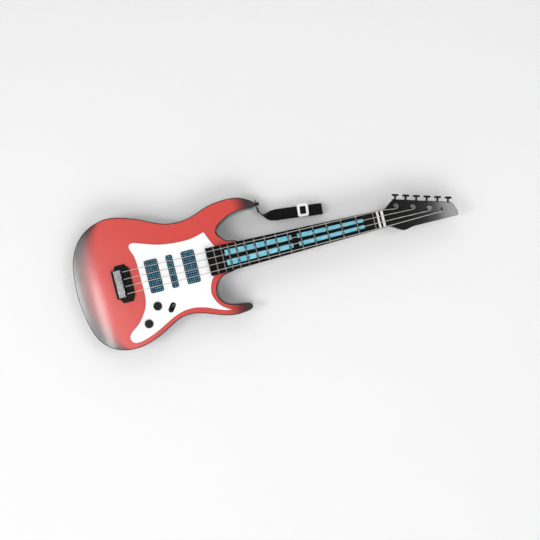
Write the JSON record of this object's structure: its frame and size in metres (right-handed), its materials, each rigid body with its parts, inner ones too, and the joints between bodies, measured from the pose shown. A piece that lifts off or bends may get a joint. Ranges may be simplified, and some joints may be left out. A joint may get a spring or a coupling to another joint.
{
  "type": "toy electric guitar",
  "caption": "Toy electric guitar with a two horned body, pickguard, key strips on the neck, push buttons, a slide switch and a folded strap.",
  "frame": {"origin": "on the back plane, on the neck's centreline, under the string saddles", "axes": "+X along the neck to the headstock, +Y to the upper horn, +Z out of the face"},
  "size_m": [0.5418, 0.1854, 0.0396],
  "materials": {
    "black_gloss": "glossy black moulded plastic",
    "red_gloss": "glossy red, fading to pale at the tail and to black at the horn tips",
    "white_gloss": "glossy white plastic",
    "pickup_black": "matt black moulded grid",
    "blue_lens": "dark blue lens with pale spots",
    "black_satin": "satin black moulded plastic",
    "headstock_black": "semi gloss black plastic",
    "bright_metal": "bright plated",
    "string_wire": "drawn wire",
    "post_metal": "turned steel",
    "white_satin": "satin white plastic",
    "cyan_key": "semi gloss cyan plastic",
    "circuit_board": "green solder mask",
    "dome_rubber": "grey silicone rubber",
    "lamp_plastic": "clear lamp body",
    "contact_steel": "plated sheet steel",
    "speaker_paper": "pressed speaker cone",
    "magnet_iron": "ferrite",
    "cell_jacket": "plain printed jacket with a copper band",
    "screw_steel": "blackened steel",
    "lead_insulation": "insulated wire",
    "tab_leather": "black imitation leather",
    "black_webbing": "woven black webbing"
  },
  "bodies": {
    "body_and_neck": {"body_rear_shell": "black_gloss", "body_front_shell": "black_gloss", "face_panel": "red_gloss", "pickguard": "white_gloss", "bridge_pickup_cover": "pickup_black", "middle_pickup_cover": "pickup_black", "neck_pickup_cover": "pickup_black", "bridge_pickup_lens": "blue_lens", "middle_pickup_lens": "blue_lens", "neck_pickup_lens": "blue_lens", "bridge_base": "black_satin", "bridge_saddles": "bright_metal", "bridge_rear_bar": "black_satin", "string_anchors": "black_satin", "string_1": "string_wire", "string_2": "string_wire", "string_3": "string_wire", "string_4": "string_wire", "fretboard": "black_satin", "neck_rear_shell": "black_satin", "frets": "string_wire", "nut": "white_satin", "string_guide": "white_satin", "neck_board": "circuit_board", "key_dome_sheet": "dome_rubber", "headstock": "headstock_black", "headstock_cover": "black_satin", "tuner_strip": "black_satin", "switch_bezel": "black_satin", "slide_switch_body": "contact_steel", "main_board": "circuit_board", "tact_switches": "black_satin", "light_board": "circuit_board", "lamps": "lamp_plastic", "speaker_basket": "contact_steel", "speaker_cone": "speaker_paper", "speaker_magnet": "magnet_iron", "cells": "cell_jacket", "cell_contacts": "contact_steel", "cell_springs": "contact_steel", "case_screws": "screw_steel", "neck_screws": "screw_steel", "leads": "lead_insulation", "horn_strap_pin": "black_satin", "strap_end_tab": "tab_leather", "strap": "black_webbing", "strap_slider": "white_gloss"},
    "upper_button": {"upper_push_button": "black_gloss"},
    "lower_button": {"lower_push_button": "black_gloss"},
    "switch_knob": {"slide_switch_knob": "black_satin"},
    "upper_high_keys": {"upper_high_key_strip": "cyan_key"},
    "upper_low_keys": {"upper_low_key_strip": "cyan_key"},
    "lower_high_keys": {"lower_high_key_strip": "cyan_key"},
    "lower_low_keys": {"lower_low_key_strip": "cyan_key"},
    "post_1": {"tuning_post_1": "post_metal"},
    "post_2": {"tuning_post_2": "post_metal"},
    "post_3": {"tuning_post_3": "post_metal"},
    "post_4": {"tuning_post_4": "post_metal"},
    "door": {"battery_door": "black_satin", "battery_door_screw": "screw_steel"}
  },
  "joints": [
    {"name": "upper_button_press", "type": "slide", "parent": "body_and_neck", "child": "upper_button", "axis": [0, 0, -1], "range_m": [0, 0.0012], "stiffness_N_per_m": 400, "springref_m": -0.0005},
    {"name": "lower_button_press", "type": "slide", "parent": "body_and_neck", "child": "lower_button", "axis": [0, 0, -1], "range_m": [0, 0.0012], "stiffness_N_per_m": 400, "springref_m": -0.0005},
    {"name": "upper_high_keys_press", "type": "slide", "parent": "body_and_neck", "child": "upper_high_keys", "axis": [0, 0, -1], "range_m": [0, 0.0008], "stiffness_N_per_m": 500, "springref_m": -0.0006},
    {"name": "upper_low_keys_press", "type": "slide", "parent": "body_and_neck", "child": "upper_low_keys", "axis": [0, 0, -1], "range_m": [0, 0.0008], "stiffness_N_per_m": 500, "springref_m": -0.0006},
    {"name": "lower_high_keys_press", "type": "slide", "parent": "body_and_neck", "child": "lower_high_keys", "axis": [0, 0, -1], "range_m": [0, 0.0008], "stiffness_N_per_m": 500, "springref_m": -0.0006},
    {"name": "lower_low_keys_press", "type": "slide", "parent": "body_and_neck", "child": "lower_low_keys", "axis": [0, 0, -1], "range_m": [0, 0.0008], "stiffness_N_per_m": 500, "springref_m": -0.0006},
    {"name": "switch_slide", "type": "slide", "parent": "body_and_neck", "child": "switch_knob", "axis": [0.5878, 0.809, 0], "range_m": [0, 0.004]},
    {"name": "post_1_turn", "type": "hinge", "parent": "body_and_neck", "child": "post_1", "pos_m": [0.3923, 0.0123, 0.031], "axis": [0, 0, 1], "range_deg": [-90, 270]},
    {"name": "post_2_turn", "type": "hinge", "parent": "body_and_neck", "child": "post_2", "pos_m": [0.415, 0.0058, 0.031], "axis": [0, 0, 1], "range_deg": [-90, 270]},
    {"name": "post_3_turn", "type": "hinge", "parent": "body_and_neck", "child": "post_3", "pos_m": [0.4365, -0.0015, 0.031], "axis": [0, 0, 1], "range_deg": [-90, 270]},
    {"name": "post_4_turn", "type": "hinge", "parent": "body_and_neck", "child": "post_4", "pos_m": [0.4565, -0.0065, 0.031], "axis": [0, 0, 1], "range_deg": [-90, 270]},
    {"name": "battery_door_tilt", "type": "hinge", "parent": "body_and_neck", "child": "door", "pos_m": [0.02735, 0, 0.0003], "axis": [0, 1, 0], "range_deg": [0, 60]}
  ]
}
